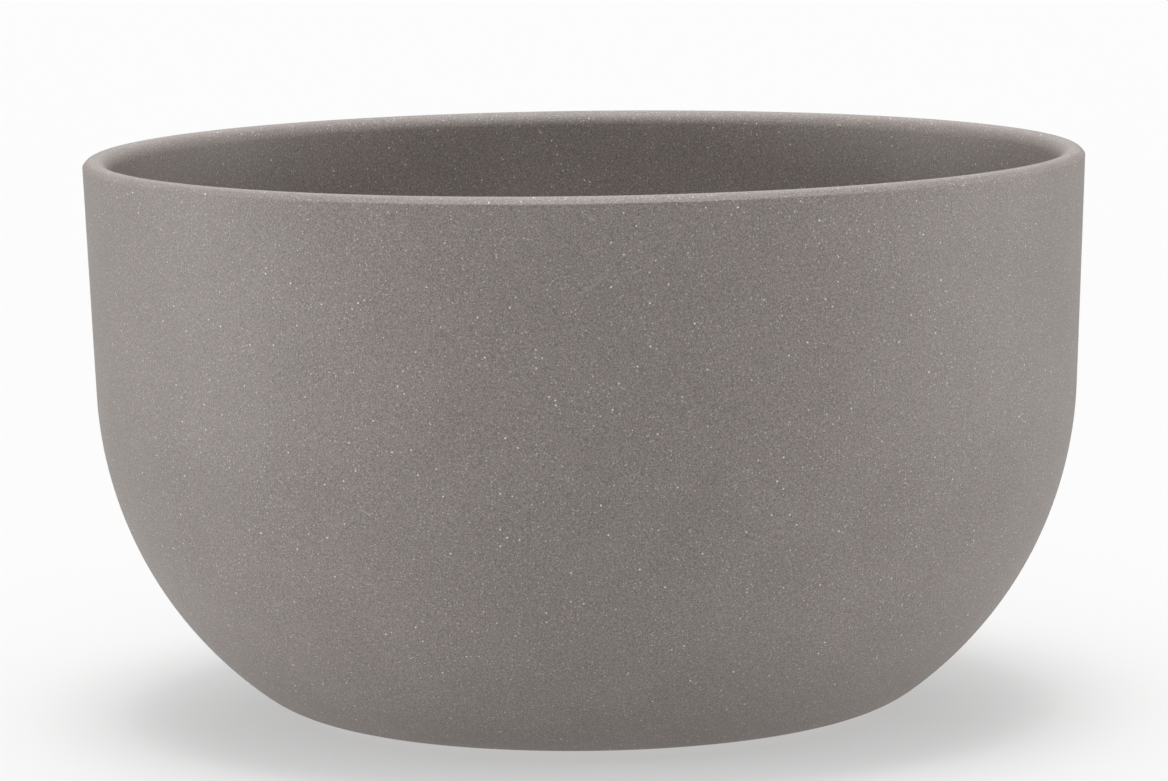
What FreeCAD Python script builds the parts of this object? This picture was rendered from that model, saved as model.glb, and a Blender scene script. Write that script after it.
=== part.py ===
# Ceramic bowl planter: a cast stoneware bowl on a foot ring, a rubber drain plug that lifts out of its floor,
# and rubber pads under the foot ring.
# Millimetres, +Z up. The origin is on the floor, under the middle of the bowl. Every piece is turned about Z.
import FreeCAD
import Part

import math
import os
from collections import namedtuple

# Driving dimensions of the bowl
rim_diameter = 360.0  # at its widest, just under the lip
bowl_height = 200.5  # foot ring to lip
wall_thickness = 9.0
wall_draft_deg = 2.24  # the straight wall leans out by this
body_curve_radius = 141.0  # outside, from the straight wall to the foot curve
foot_curve_radius = 40.7  # outside, from the body curve to the foot ring
curve_change_deg = 53.2  # how far below level a normal points where one outside curve passes into the other
lip_crest_radius = 3.4  # from the top of the lip to its bevel
lip_bevel_deg = 40.0  # how far above level the bevel faces
lip_bevel_width = 1.1
lip_corner_radius = 0.75  # from the bevel to the wall
lip_inner_radius = 5.4
floor_thickness = 9.0
inside_corner_radius = 30.0  # where the inner wall runs out into the floor
foot_recess_depth = 4.0  # the underside stands this far above the foot ring
drain_hole_diameter = 26.0  # at the inside floor
drain_hole_draft_deg = 3.0  # the hole narrows downwards by this on each side
drain_hole_edge_radius = 1.0

# Driving dimensions of the drain plug
plug_head_overlap = 9.0  # how far the head reaches past the hole's edge
plug_head_thickness = 4.0
plug_head_edge_radius = 2.0
plug_shank_gap = 0.9  # between the shank and the hole
plug_rib_clearance = 0.15  # between a sealing rib and the hole
plug_rib_count = 3
plug_tail_length = 1.5  # how far the shank shows below the underside
plug_tail_edge_radius = 1.5
plug_neck_diameter = 10.0
plug_neck_flare_radius = 2.5  # where the neck meets the head and the knob
plug_knob_diameter = 20.0
plug_knob_thickness = 7.0

# Driving dimensions of the foot pads
pad_count = 4
pad_diameter = 20.0
pad_thickness = 2.0
pad_edge_radius = 0.6
pad_margin = 3.0  # foot ring left showing on both sides of a pad

# Most of a thickness that a round at its edge takes up, and most of the wall's that each side of the lip does
largest_round_share = 0.45
largest_lip_outer_share = 0.39
largest_lip_inner_share = 0.6

# Heights that several pieces share
foot_z = pad_thickness
underside_z = foot_z + foot_recess_depth
floor_z = underside_z + floor_thickness
lip_z = foot_z + bowl_height

Bend = namedtuple("Bend", "centre radius start_deg end_deg")


def on_circle(centre, radius, deg):
    """The point (r, z) of a circle at an angle counted up from level, pointing away from the axis."""
    angle = math.radians(deg)
    return centre[0] + radius * math.cos(angle), centre[1] + radius * math.sin(angle)


def vector(point):
    """A point (r, z) of an outline as a place in the XZ plane."""
    return FreeCAD.Vector(point[0], 0, point[1])


def turned(outline):
    """The solid that a closed outline sweeps about Z. The outline is a run of corners (r, z) and bends, and
    straight edges join each one's end to the next one's start."""
    ends = []
    edges = []
    for step in outline:
        if isinstance(step, Bend):
            middle_deg = (step.start_deg + step.end_deg) / 2
            start, middle, end = (
                vector(on_circle(step.centre, step.radius, deg))
                for deg in (step.start_deg, middle_deg, step.end_deg)
            )
            bend = Part.Arc(start, middle, end).toShape()
            ends.append((start, bend, end))
        else:
            ends.append((vector(step), None, vector(step)))
    for i, (start, bend, end) in enumerate(ends):
        next_start = ends[(i + 1) % len(ends)][0]
        if bend:
            edges.append(bend)
        if end.distanceToPoint(next_start) > Part.Precision.confusion():
            edges.append(Part.LineSegment(end, next_start).toShape())
    face = Part.Face(Part.Wire(edges))
    return face.revolve(FreeCAD.Vector(0, 0, 0), FreeCAD.Vector(0, 0, 1), 360)


# Lip, straight wall and outside curves, from the rim down to the foot ring
wall_draft = math.radians(wall_draft_deg)
curve_change = math.radians(curve_change_deg)
lip_bevel = math.radians(lip_bevel_deg)
lip_inset = (
    lip_crest_radius * math.cos(lip_bevel)
    + lip_bevel_width * math.sin(lip_bevel)
    + lip_corner_radius * (1 - math.cos(lip_bevel))
)
lip_fit = min(1, largest_lip_outer_share * wall_thickness / lip_inset)
lip_crest = lip_crest_radius * lip_fit
lip_corner = lip_corner_radius * lip_fit
lip_crest_centre = (rim_diameter / 2 - lip_inset * lip_fit, lip_z - lip_crest)
lip_bevel_top = on_circle(lip_crest_centre, lip_crest, lip_bevel_deg)
lip_bevel_foot = on_circle(lip_bevel_top, lip_bevel_width * lip_fit, lip_bevel_deg - 90)
lip_corner_centre = on_circle(lip_bevel_foot, lip_corner, lip_bevel_deg - 180)
lip_inner = min(lip_inner_radius, largest_lip_inner_share * wall_thickness)
wall_top = on_circle(lip_corner_centre, lip_corner, -wall_draft_deg)


def wall_radius(z):
    """Outside radius of the straight wall at a height."""
    return wall_top[0] - (wall_top[1] - z) * math.tan(wall_draft)


body_centre_z = (
    foot_z
    + foot_curve_radius * (1 - math.sin(curve_change))
    + body_curve_radius * math.sin(curve_change)
)
wall_foot_z = body_centre_z - body_curve_radius * math.sin(wall_draft)
body_centre = (wall_radius(wall_foot_z) - body_curve_radius * math.cos(wall_draft), body_centre_z)
foot_centre = on_circle(body_centre, body_curve_radius - foot_curve_radius, -curve_change_deg)
foot_flat_radius = foot_centre[0]

# Inside of the bowl: the wall's thickness in from the outside, then a corner into the level floor
lip_inner_centre_z = lip_z - lip_inner
lip_inner_centre = (
    wall_radius(lip_inner_centre_z) - (wall_thickness - lip_inner) / math.cos(wall_draft),
    lip_inner_centre_z,
)
inside_curve_radius = body_curve_radius - wall_thickness
inside_corner_centre_z = floor_z + inside_corner_radius
corner_drop = body_centre[1] - inside_corner_centre_z
corner_run = math.sqrt((inside_curve_radius - inside_corner_radius) ** 2 - corner_drop**2)
inside_corner_centre = (body_centre[0] + corner_run, inside_corner_centre_z)
inside_change_deg = math.degrees(math.atan2(corner_drop, corner_run))

# Foot ring, wide enough for the pads, and the step up to the underside
foot_ring_width = pad_diameter + 2 * pad_margin
foot_ring_inner_radius = foot_flat_radius - foot_ring_width
recess_bend_radius = foot_recess_depth / 2

# Drain hole
hole_draft = math.radians(drain_hole_draft_deg)
hole_edge = min(drain_hole_edge_radius, largest_round_share * floor_thickness)


def hole_radius(z):
    """Radius of the drain hole at a height."""
    return drain_hole_diameter / 2 - (floor_z - z) * math.tan(hole_draft)


def hole_edge_centre(z):
    """Centre of a round between the hole's wall and a level face, at the round's own height."""
    return hole_radius(z) + hole_edge / math.cos(hole_draft), z


def make_bowl():
    """The stoneware bowl, from the middle of its underside out, up the outside, over the lip and down the inside."""
    recess_middle_z = foot_z + recess_bend_radius
    return turned(
        [
            Bend((foot_ring_inner_radius - 2 * recess_bend_radius, recess_middle_z), recess_bend_radius, 90, 0),
            Bend((foot_ring_inner_radius, recess_middle_z), recess_bend_radius, 180, 270),
            Bend(foot_centre, foot_curve_radius, -90, -curve_change_deg),
            Bend(body_centre, body_curve_radius, -curve_change_deg, -wall_draft_deg),
            Bend(lip_corner_centre, lip_corner, -wall_draft_deg, lip_bevel_deg),
            Bend(lip_crest_centre, lip_crest, lip_bevel_deg, 90),
            Bend(lip_inner_centre, lip_inner, 90, 180 - wall_draft_deg),
            Bend(body_centre, inside_curve_radius, -wall_draft_deg, -inside_change_deg),
            Bend(inside_corner_centre, inside_corner_radius, -inside_change_deg, -90),
            Bend(hole_edge_centre(floor_z - hole_edge), hole_edge, 90, 180 - drain_hole_draft_deg),
            Bend(hole_edge_centre(underside_z + hole_edge), hole_edge, 180 - drain_hole_draft_deg, 270),
        ]
    )


def shank_radius(z):
    """Radius of the plug's shank at a height, clear of the hole."""
    return hole_radius(z) - plug_shank_gap / math.cos(hole_draft)


def make_drain_plug():
    """The rubber plug: a ribbed shank in the hole, a head that lies on the floor, and a knob to pull it by."""
    tail_z = underside_z - plug_tail_length
    tail_edge_z = tail_z + plug_tail_edge_radius
    tail_edge_centre = (
        shank_radius(tail_edge_z) - plug_tail_edge_radius / math.cos(hole_draft),
        tail_edge_z,
    )
    rib_radius = plug_shank_gap - plug_rib_clearance
    rib_pitch = floor_thickness / (plug_rib_count + 1)
    rib_heights = [underside_z + rib_pitch * (i + 1) for i in range(plug_rib_count)]
    ribs = [
        Bend((shank_radius(z), z), rib_radius, -90 - drain_hole_draft_deg, 90 - drain_hole_draft_deg)
        for z in rib_heights
    ]
    head_radius = drain_hole_diameter / 2 + plug_head_overlap
    head_top_z = floor_z + plug_head_thickness
    head_edge = min(plug_head_edge_radius, largest_round_share * plug_head_thickness)
    flare_centre_r = plug_neck_diameter / 2 + plug_neck_flare_radius
    knob_bottom_z = head_top_z + 2 * plug_neck_flare_radius
    knob_edge = plug_knob_thickness / 2
    knob_edge_centre = (plug_knob_diameter / 2 - knob_edge, knob_bottom_z + knob_edge)
    return turned(
        [
            (0, tail_z),
            Bend(tail_edge_centre, plug_tail_edge_radius, -90, -drain_hole_draft_deg),
            *ribs,
            (shank_radius(floor_z), floor_z),
            (head_radius, floor_z),
            Bend((head_radius - head_edge, head_top_z - head_edge), head_edge, 0, 90),
            Bend((flare_centre_r, head_top_z + plug_neck_flare_radius), plug_neck_flare_radius, 270, 90),
            Bend(knob_edge_centre, knob_edge, -90, 90),
            (0, knob_bottom_z + plug_knob_thickness),
        ]
    )


def make_foot_pad(index):
    """One rubber disc under the middle of the foot ring, turned round the bowl by its share of a circle."""
    radius = pad_diameter / 2
    edge = min(pad_edge_radius, largest_round_share * pad_thickness)
    pad = turned(
        [
            (0, 0),
            Bend((radius - edge, edge), edge, -90, 0),
            (radius, pad_thickness),
            (0, pad_thickness),
        ]
    )
    pad_circle_radius = foot_flat_radius - foot_ring_width / 2
    bearing = math.radians(360 / pad_count * (index + 0.5))
    pad.translate(
        FreeCAD.Vector(pad_circle_radius * math.cos(bearing), pad_circle_radius * math.sin(bearing), 0)
    )
    return pad


def main():
    pieces = {"bowl": make_bowl(), "drain_plug": make_drain_plug()}
    for index in range(pad_count):
        pieces[f"foot_pad_{index + 1}"] = make_foot_pad(index)
    os.makedirs("parts", exist_ok=True)
    for name, shape in pieces.items():
        shape.exportStep(f"parts/{name}.step")
        box = shape.BoundBox
        print(f"{name}: valid {shape.isValid()}, {shape.Volume / 1000:.2f} cm3,", end=" ")
        print(f"{box.XLength:.2f} x {box.YLength:.2f} x {box.ZLength:.2f} mm from z {box.ZMin:.2f}")


main()
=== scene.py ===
"""Looks of a ceramic bowl planter: a speckled matt stoneware bowl, a rubber drain plug and rubber foot pads.

Metres, +Z up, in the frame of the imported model.
"""

import math
from collections import namedtuple

import bpy
from mathutils import Matrix, Vector, noise


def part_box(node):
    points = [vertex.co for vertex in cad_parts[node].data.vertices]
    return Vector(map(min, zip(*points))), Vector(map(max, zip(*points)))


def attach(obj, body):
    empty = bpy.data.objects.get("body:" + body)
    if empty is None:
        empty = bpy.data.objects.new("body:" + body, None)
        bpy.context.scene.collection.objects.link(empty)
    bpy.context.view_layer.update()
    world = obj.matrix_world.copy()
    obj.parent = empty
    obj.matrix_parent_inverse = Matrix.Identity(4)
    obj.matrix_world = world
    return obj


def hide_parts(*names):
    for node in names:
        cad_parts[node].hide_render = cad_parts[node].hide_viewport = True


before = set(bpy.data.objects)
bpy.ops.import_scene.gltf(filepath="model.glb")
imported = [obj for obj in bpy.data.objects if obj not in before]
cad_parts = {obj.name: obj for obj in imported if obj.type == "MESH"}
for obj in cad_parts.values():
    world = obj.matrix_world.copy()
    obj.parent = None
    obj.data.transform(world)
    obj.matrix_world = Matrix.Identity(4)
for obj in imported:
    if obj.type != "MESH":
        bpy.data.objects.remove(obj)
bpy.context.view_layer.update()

Bend = namedtuple("Bend", "centre radius start_deg end_deg")
Fleck = namedtuple("Fleck", "spacing radius share strength")
Lamp = namedtuple("Lamp", "bearing_deg height_deg tightness strength tint")

# Camera, fitted to the photograph's outline. The pixels are those of the photograph.
IMAGE_WIDTH = 1168
FOCAL_PIXELS = 5560.0
SENSOR_WIDTH_MM = 36.0
CAMERA_DISTANCE = 2.016
CAMERA_ELEVATION = math.radians(8.09)
CAMERA_ROLL = math.radians(-0.768)
AIM_HEIGHT = 0.092  # of the point on the bowl's axis that the distance and the elevation are counted from
AIM_PIXELS = (2.79, 63.1)  # how far right of and below the middle of the frame that point is

# The bowl's section, as the solid has it
BOWL_LOW, BOWL_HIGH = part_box("bowl")
FOOT_Z = BOWL_LOW[2]
LIP_Z = BOWL_HIGH[2]
RIM_RADIUS = 0.180
WALL = 0.009
WALL_DRAFT_DEG = 2.24
BODY_CURVE = 0.141
FOOT_CURVE = 0.0407
CURVE_CHANGE_DEG = 53.2
LIP_CREST = 0.0034
LIP_BEVEL_DEG = 40.0
LIP_BEVEL_WIDTH = 0.0011
LIP_CORNER = 0.00075
LIP_INNER = 0.0054
RECESS_DEPTH = 0.004
FLOOR_THICKNESS = 0.009
UNDERSIDE_Z = FOOT_Z + RECESS_DEPTH
FLOOR_Z = UNDERSIDE_Z + FLOOR_THICKNESS
INSIDE_CORNER = 0.030
FOOT_RING_WIDTH = 0.026
HOLE_RADIUS = 0.013
HOLE_DRAFT_DEG = 3.0
HOLE_EDGE = 0.001

# How finely the bowl is meshed: round its axis, along its section, and in the section's bends
SEGMENTS = 360
LONGEST_STEP = 0.0034
STEP_DEG = 7.5
SAME_POINT = 1e-6  # points of the section closer than this are one

# Unevenness left by casting and firing: a warp of the wall above the floor, and a droop of the rim
WARP_DEPTH = 0.00025
WARP_SIZE = 0.09
WARP_START_Z = FLOOR_Z + 0.02
WARP_FULL_Z = FLOOR_Z + 0.08
DROOP_DEPTH = 0.0002
DROOP_REACH = 0.05  # how far below the lip it begins
DROOP_TURN = 0.6  # radians round the bowl

# The glaze. A range of noise is the part of its values from 0 to 1 over which a look changes.
GLAZE_DARK = (0.228, 0.199, 0.183, 1.0)
GLAZE_PALE = (0.242, 0.212, 0.196, 1.0)
CLOUD_SIZE = 0.03
CLOUD_RANGE = (0.3, 0.7)
GRAIN_SIZE = 0.0005
GRAIN_RANGE = (0.25, 0.75)
GRAIN_CONTRAST = 0.42
GLAZE_ROUGHNESS = (0.56, 0.66)
GLAZE_ROUGHNESS_RANGE = (0.3, 0.7)
GLAZE_SPECULAR = 0.6
GLAZE_BUMP = 0.4
GLAZE_BUMP_DEPTH = 0.00005

# Pale flecks in the glaze: for each kind the spacing, the radius, the share of them that are there, and how
# much of the fleck colour the palest of them has
FLECK_COLOUR = (0.80, 0.76, 0.72, 1.0)
FLECK_KINDS = [
    Fleck(spacing=0.0021, radius=0.00040, share=0.13, strength=1.0),
    Fleck(spacing=0.00135, radius=0.00031, share=0.62, strength=0.52),
    Fleck(spacing=0.00085, radius=0.00024, share=0.50, strength=0.32),
]
FLECK_CORE = 0.6  # share of its radius within which a fleck shows in full
FAINTEST_FLECK = 0.35  # as a share of the strength of its kind

# The flat of the foot ring, wiped bare of glaze
CLAY_DARK = (0.336, 0.288, 0.240, 1.0)
CLAY_PALE = (0.420, 0.360, 0.300, 1.0)
CLAY_ROUGHNESS = 0.9
WIPE_HEIGHT = 0.0009  # the wavy edge of the wipe stays below this height on the foot
WIPE_WAVE_SIZE = 0.006

# The rubber of the plug and the pads: a fine skin, and patches of paler bloom
PLUG_DARK = (0.026, 0.024, 0.023, 1.0)
PLUG_PALE = (0.052, 0.048, 0.045, 1.0)
PAD_COUNT = 4
PAD_DARK = (0.020, 0.019, 0.018, 1.0)
PAD_PALE = (0.038, 0.036, 0.034, 1.0)
SKIN_SIZE = 0.0006
SKIN_RANGE = (0.3, 0.7)
SKIN_CONTRAST = 0.25
BLOOM_SIZE = 0.009
BLOOM_RANGE = (0.35, 0.7)
RUBBER_ROUGHNESS = (0.5, 0.72)
RUBBER_SPECULAR = 0.45
RUBBER_BUMP = 0.6
RUBBER_BUMP_DEPTH = 0.0001

# The floor, a light table that glows a little
FLOOR_HALF_WIDTH = 8.0
FLOOR_COLOUR = (0.32, 0.32, 0.32, 1.0)
FLOOR_ROUGHNESS = 0.9
FLOOR_SPECULAR = 0.2
FLOOR_GLOW = 0.45

# Soft lamps far off: overhead, front, left, right and back. Bearings count from the front to the right.
WHITE = (1.0, 1.0, 1.0)
LAMPS = [
    Lamp(bearing_deg=0, height_deg=88, tightness=60, strength=23.7, tint=WHITE),
    Lamp(bearing_deg=0, height_deg=60, tightness=6, strength=1.97, tint=WHITE),
    Lamp(bearing_deg=-92, height_deg=-1, tightness=60, strength=29.6, tint=WHITE),
    Lamp(bearing_deg=99, height_deg=1, tightness=60, strength=20.6, tint=(1.0, 0.99, 0.99)),
    Lamp(bearing_deg=180, height_deg=45, tightness=12, strength=3.05, tint=WHITE),
]


def on_circle(centre, radius, deg):
    """The point (r, z) of a circle at an angle counted up from level, pointing away from the axis."""
    angle = math.radians(deg)
    return centre[0] + radius * math.cos(angle), centre[1] + radius * math.sin(angle)


def bowl_section():
    """The closed section of the bowl as bends: in turn the underside, outside, lip, inside and drain hole."""
    draft = math.radians(WALL_DRAFT_DEG)
    change = math.radians(CURVE_CHANGE_DEG)
    bevel = math.radians(LIP_BEVEL_DEG)
    lip_inset = (
        LIP_CREST * math.cos(bevel)
        + LIP_BEVEL_WIDTH * math.sin(bevel)
        + LIP_CORNER * (1 - math.cos(bevel))
    )
    crest_centre = (RIM_RADIUS - lip_inset, LIP_Z - LIP_CREST)
    bevel_top = on_circle(crest_centre, LIP_CREST, LIP_BEVEL_DEG)
    bevel_foot = on_circle(bevel_top, LIP_BEVEL_WIDTH, LIP_BEVEL_DEG - 90)
    corner_centre = on_circle(bevel_foot, LIP_CORNER, LIP_BEVEL_DEG - 180)
    wall_top = on_circle(corner_centre, LIP_CORNER, -WALL_DRAFT_DEG)

    def wall_radius(z):
        return wall_top[0] - (wall_top[1] - z) * math.tan(draft)

    body_z = FOOT_Z + FOOT_CURVE * (1 - math.sin(change)) + BODY_CURVE * math.sin(change)
    wall_foot_z = body_z - BODY_CURVE * math.sin(draft)
    body_centre = (wall_radius(wall_foot_z) - BODY_CURVE * math.cos(draft), body_z)
    foot_centre = on_circle(body_centre, BODY_CURVE - FOOT_CURVE, -CURVE_CHANGE_DEG)
    inner_z = LIP_Z - LIP_INNER
    inner_centre = (wall_radius(inner_z) - (WALL - LIP_INNER) / math.cos(draft), inner_z)
    inside_curve = BODY_CURVE - WALL
    corner_z = FLOOR_Z + INSIDE_CORNER
    corner_drop = body_z - corner_z
    corner_run = math.sqrt((inside_curve - INSIDE_CORNER) ** 2 - corner_drop**2)
    inside_deg = math.degrees(math.atan2(corner_drop, corner_run))
    inside_corner_centre = (body_centre[0] + corner_run, corner_z)
    ring_inner = foot_centre[0] - FOOT_RING_WIDTH
    recess_bend = RECESS_DEPTH / 2
    recess_z = FOOT_Z + recess_bend
    hole_draft = math.radians(HOLE_DRAFT_DEG)

    def hole_edge_centre(z):
        radius = HOLE_RADIUS - (FLOOR_Z - z) * math.tan(hole_draft)
        return radius + HOLE_EDGE / math.cos(hole_draft), z

    return [
        Bend((ring_inner - 2 * recess_bend, recess_z), recess_bend, 90, 0),
        Bend((ring_inner, recess_z), recess_bend, 180, 270),
        Bend(foot_centre, FOOT_CURVE, -90, -CURVE_CHANGE_DEG),
        Bend(body_centre, BODY_CURVE, -CURVE_CHANGE_DEG, -WALL_DRAFT_DEG),
        Bend(corner_centre, LIP_CORNER, -WALL_DRAFT_DEG, LIP_BEVEL_DEG),
        Bend(crest_centre, LIP_CREST, LIP_BEVEL_DEG, 90),
        Bend(inner_centre, LIP_INNER, 90, 180 - WALL_DRAFT_DEG),
        Bend(body_centre, inside_curve, -WALL_DRAFT_DEG, -inside_deg),
        Bend(inside_corner_centre, INSIDE_CORNER, -inside_deg, -90),
        Bend(hole_edge_centre(FLOOR_Z - HOLE_EDGE), HOLE_EDGE, 90, 180 - HOLE_DRAFT_DEG),
        Bend(hole_edge_centre(UNDERSIDE_Z + HOLE_EDGE), HOLE_EDGE, 180 - HOLE_DRAFT_DEG, 270),
    ]


def section_points(section):
    """Points (r, z) round the section, close together in bends and never more than the longest step apart."""
    points = []
    for i, bend in enumerate(section):
        sweep = bend.end_deg - bend.start_deg
        length = bend.radius * math.radians(abs(sweep))
        steps = max(math.ceil(abs(sweep) / STEP_DEG), math.ceil(length / LONGEST_STEP))
        for k in range(steps + 1):
            points.append(on_circle(bend.centre, bend.radius, bend.start_deg + sweep * k / steps))
        following = section[(i + 1) % len(section)]
        start = points[-1]
        goal = on_circle(following.centre, following.radius, following.start_deg)
        run = math.dist(start, goal)
        if run < SAME_POINT:
            points.pop()
            continue
        steps = math.ceil(run / LONGEST_STEP)
        for k in range(1, steps):
            share = k / steps
            points.append((start[0] + (goal[0] - start[0]) * share, start[1] + (goal[1] - start[1]) * share))
    return points


def smooth_step(low, high, value):
    """How far a value has gone from low to high, from 0 to 1, with a soft start and end."""
    share = min(max((value - low) / (high - low), 0.0), 1.0)
    return share * share * (3 - 2 * share)


def uneven(place):
    """A point of the bowl moved by its slight warp and droop, which die away towards the foot and floor."""
    share = smooth_step(WARP_START_Z, WARP_FULL_Z, place.z)
    if not share:
        return place
    inward = -Vector((place.x, place.y, 0)).normalized()
    warp = WARP_DEPTH * (0.5 + 0.5 * noise.noise(place / WARP_SIZE))
    wave = 0.5 + 0.5 * math.sin(2 * math.atan2(place.y, place.x) + DROOP_TURN)
    droop = DROOP_DEPTH * wave * smooth_step(LIP_Z - DROOP_REACH, LIP_Z, place.z)
    return place + share * warp * inward - Vector((0, 0, droop))


def make_bowl():
    """The stoneware bowl as one closed mesh, a little uneven where nothing seats on it."""
    points = section_points(bowl_section())
    vertices = []
    for r, z in points:
        for k in range(SEGMENTS):
            angle = 2 * math.pi * k / SEGMENTS
            vertices.append(uneven(Vector((r * math.cos(angle), r * math.sin(angle), z))))
    faces = []
    for i in range(len(points)):
        here = i * SEGMENTS
        above = (i + 1) % len(points) * SEGMENTS
        for k in range(SEGMENTS):
            after = (k + 1) % SEGMENTS
            faces.append((here + k, here + after, above + after, above + k))
    mesh = bpy.data.meshes.new("bowl_shell")
    mesh.from_pydata(vertices, [], faces)
    mesh.shade_smooth()
    bowl = bpy.data.objects.new("bowl_shell", mesh)
    bpy.context.collection.objects.link(bowl)
    return bowl


class NodeTree:
    """The nodes of a material or a world, made and joined by short calls."""

    def __init__(self, owner):
        owner.use_nodes = True
        self.tree = owner.node_tree

    def add(self, kind, inputs, **settings):
        """A new node with its settings, and its inputs set to values or joined to other nodes' outputs."""
        node = self.tree.nodes.new("ShaderNode" + kind)
        for key, value in settings.items():
            setattr(node, key, value)
        self.feed(node, inputs)
        return node

    def feed(self, node, inputs):
        """Set a node's inputs to values, or join them to other nodes' outputs."""
        for key, value in inputs.items():
            if isinstance(value, bpy.types.NodeSocket):
                self.tree.links.new(value, node.inputs[key])
            else:
                node.inputs[key].default_value = value

    def coordinates(self, kind):
        return self.add("TexCoord", {}).outputs[kind]

    def calc(self, operation, a, b):
        return self.add("Math", {0: a, 1: b}, operation=operation).outputs[0]

    def vector_calc(self, operation, a, b):
        return self.add("VectorMath", {0: a, 1: b}, operation=operation).outputs

    def scale(self, colour, factor):
        return self.add("VectorMath", {0: colour, "Scale": factor}, operation="SCALE").outputs[0]

    def mix(self, share, a, b):
        """Two colours mixed by a share from 0 to 1. Inputs 6 and 7 and output 2 are the node's colours."""
        return self.add("Mix", {"Factor": share, 6: a, 7: b}, data_type="RGBA").outputs[2]

    def spread(self, value, old_range, new_range=(0.0, 1.0)):
        """A value carried smoothly from one range to another, and kept inside it."""
        inputs = {
            "Value": value,
            "From Min": old_range[0],
            "From Max": old_range[1],
            "To Min": new_range[0],
            "To Max": new_range[1],
        }
        return self.add("MapRange", inputs, interpolation_type="SMOOTHSTEP").outputs[0]

    def mottle(self, place, size, detail=2.0, roughness=0.5):
        """Cloudy noise from 0 to 1 whose patches are about this many metres across."""
        inputs = {"Vector": place, "Scale": 1 / size, "Detail": detail, "Roughness": roughness}
        return self.add("TexNoise", inputs).outputs[0]

    def bump(self, strength, depth, height):
        return self.add("Bump", {"Strength": strength, "Distance": depth, "Height": height}).outputs[0]


def new_material(name, make_inputs):
    """A material whose surface has the inputs that a function gives for its node tree."""
    material = bpy.data.materials.new(name)
    nodes = NodeTree(material)
    nodes.feed(nodes.tree.nodes["Principled BSDF"], make_inputs(nodes))
    return material


def flecks(nodes, place, kind):
    """How much of a fleck of one kind shows. Each fleck has its own strength."""
    cells = nodes.add("TexVoronoi", {"Vector": place, "Scale": 1 / kind.spacing}).outputs
    chance = nodes.add("SeparateColor", {"Color": cells["Color"]}).outputs
    edge = kind.radius / kind.spacing
    inside = nodes.spread(cells["Distance"], (edge, FLECK_CORE * edge))
    there = nodes.calc("LESS_THAN", chance["Red"], kind.share)
    strength = nodes.spread(chance["Green"], (0.0, 1.0), (FAINTEST_FLECK * kind.strength, kind.strength))
    return nodes.calc("MULTIPLY", nodes.calc("MULTIPLY", inside, there), strength)


def glaze(nodes):
    """Matt warm grey glaze with pale flecks of several sizes, over fine grain and faint clouds. The flat of
    the foot ring is wiped bare."""
    place = nodes.coordinates("Object")
    clouds = nodes.mottle(place, CLOUD_SIZE, detail=3.0)
    grain = nodes.mottle(place, GRAIN_SIZE, roughness=0.65)
    colour = nodes.mix(nodes.spread(clouds, CLOUD_RANGE), GLAZE_DARK, GLAZE_PALE)
    colour = nodes.scale(colour, nodes.spread(grain, GRAIN_RANGE, (1 - GRAIN_CONTRAST, 1 + GRAIN_CONTRAST)))
    for kind in FLECK_KINDS:
        colour = nodes.mix(flecks(nodes, place, kind), colour, FLECK_COLOUR)
    wipe = nodes.calc("MULTIPLY", nodes.mottle(place, WIPE_WAVE_SIZE), WIPE_HEIGHT)
    up = nodes.add("SeparateXYZ", {"Vector": place}).outputs["Z"]
    bare = nodes.calc("LESS_THAN", up, nodes.calc("ADD", wipe, FOOT_Z))
    clay = nodes.mix(grain, CLAY_DARK, CLAY_PALE)
    roughness = nodes.spread(grain, GLAZE_ROUGHNESS_RANGE, GLAZE_ROUGHNESS)
    return {
        "Base Color": nodes.mix(bare, colour, clay),
        "Roughness": nodes.calc("MAXIMUM", roughness, nodes.calc("MULTIPLY", bare, CLAY_ROUGHNESS)),
        "Specular IOR Level": GLAZE_SPECULAR,
        "Normal": nodes.bump(GLAZE_BUMP, GLAZE_BUMP_DEPTH, grain),
    }


def rubber(nodes, dark, pale):
    """Moulded rubber: a fine matt skin, with faint patches of paler bloom."""
    place = nodes.coordinates("Object")
    skin = nodes.mottle(place, SKIN_SIZE, detail=3.0, roughness=0.6)
    bloom = nodes.mottle(place, BLOOM_SIZE, detail=4.0, roughness=0.6)
    colour = nodes.mix(nodes.spread(bloom, BLOOM_RANGE), dark, pale)
    contrast = nodes.spread(skin, SKIN_RANGE, (1 - SKIN_CONTRAST, 1 + SKIN_CONTRAST))
    return {
        "Base Color": nodes.scale(colour, contrast),
        "Roughness": nodes.spread(bloom, BLOOM_RANGE, RUBBER_ROUGHNESS),
        "Specular IOR Level": RUBBER_SPECULAR,
        "Normal": nodes.bump(RUBBER_BUMP, RUBBER_BUMP_DEPTH, skin),
    }


def plug_rubber(nodes):
    return rubber(nodes, PLUG_DARK, PLUG_PALE)


def pad_rubber(nodes):
    return rubber(nodes, PAD_DARK, PAD_PALE)


def floor_paint(nodes):
    return {
        "Base Color": FLOOR_COLOUR,
        "Roughness": FLOOR_ROUGHNESS,
        "Specular IOR Level": FLOOR_SPECULAR,
        "Emission Color": (*WHITE, 1.0),
        "Emission Strength": FLOOR_GLOW,
    }


def dress(node_name, material):
    """Give a CAD node its finish."""
    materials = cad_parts[node_name].data.materials
    materials.clear()
    materials.append(material)


def make_floor():
    """A plain pale light table that reaches past the frame on all sides."""
    half = FLOOR_HALF_WIDTH
    mesh = bpy.data.meshes.new("floor")
    corners = [(-half, -half, 0), (half, -half, 0), (half, half, 0), (-half, half, 0)]
    mesh.from_pydata(corners, [], [(0, 1, 2, 3)])
    mesh.materials.append(new_material("floor_paint", floor_paint))
    floor = bpy.data.objects.new("floor", mesh)
    bpy.context.collection.objects.link(floor)


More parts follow.
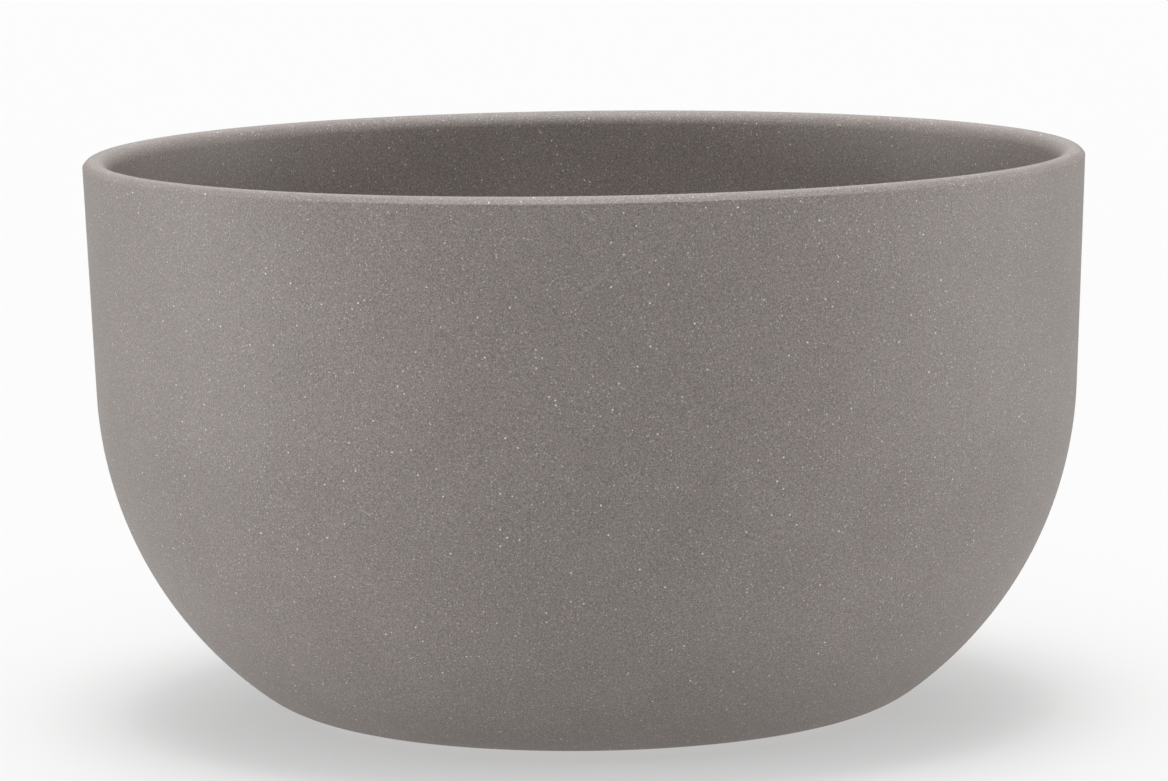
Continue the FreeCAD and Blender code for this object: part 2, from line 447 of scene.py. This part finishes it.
def make_camera():
    """The photograph's viewpoint: a long lens a little above the rim, with a slight roll."""
    data = bpy.data.cameras.new("camera")
    data.sensor_fit = "HORIZONTAL"
    data.sensor_width = SENSOR_WIDTH_MM
    data.lens = FOCAL_PIXELS / IMAGE_WIDTH * SENSOR_WIDTH_MM
    camera = bpy.data.objects.new("camera", data)
    bpy.context.collection.objects.link(camera)
    pitch = CAMERA_ELEVATION - math.atan(AIM_PIXELS[1] / FOCAL_PIXELS)
    yaw = math.atan(AIM_PIXELS[0] / FOCAL_PIXELS)
    spot = (
        0.0,
        -CAMERA_DISTANCE * math.cos(CAMERA_ELEVATION),
        AIM_HEIGHT + CAMERA_DISTANCE * math.sin(CAMERA_ELEVATION),
    )
    turn = Matrix.Rotation(yaw, 4, "Z") @ Matrix.Rotation(math.pi / 2 - pitch, 4, "X")
    camera.matrix_world = Matrix.Translation(spot) @ turn @ Matrix.Rotation(CAMERA_ROLL, 4, "Z")
    bpy.context.scene.camera = camera
    bpy.context.scene.view_settings.view_transform = "Standard"


def make_light():
    """Soft studio light, as a surrounding glow that is brightest towards each lamp."""
    world = bpy.data.worlds.new("studio")
    nodes = NodeTree(world)
    towards = nodes.coordinates("Generated")
    glow = (0.0, 0.0, 0.0)
    for lamp in LAMPS:
        turn, lift = math.radians(lamp.bearing_deg), math.radians(lamp.height_deg)
        spot = (math.sin(turn) * math.cos(lift), -math.cos(turn) * math.cos(lift), math.sin(lift))
        facing = nodes.vector_calc("DOT_PRODUCT", towards, spot)["Value"]
        share = nodes.calc("POWER", nodes.calc("MAXIMUM", facing, 0.0), lamp.tightness)
        colour = tuple(lamp.strength * c for c in lamp.tint)
        glow = nodes.vector_calc("ADD", glow, nodes.vector_calc("MULTIPLY", share, colour)[0])[0]
    nodes.feed(nodes.tree.nodes["Background"], {"Color": glow})
    bpy.context.scene.world = world


bowl = make_bowl()
bowl.data.materials.append(new_material("stoneware_glaze", glaze))
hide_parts("bowl")
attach(bowl, "planter")
dress("drain_plug", new_material("plug_rubber", plug_rubber))
pad_finish = new_material("pad_rubber", pad_rubber)
for number in range(1, PAD_COUNT + 1):
    dress(f"foot_pad_{number}", pad_finish)
make_floor()
make_camera()
make_light()
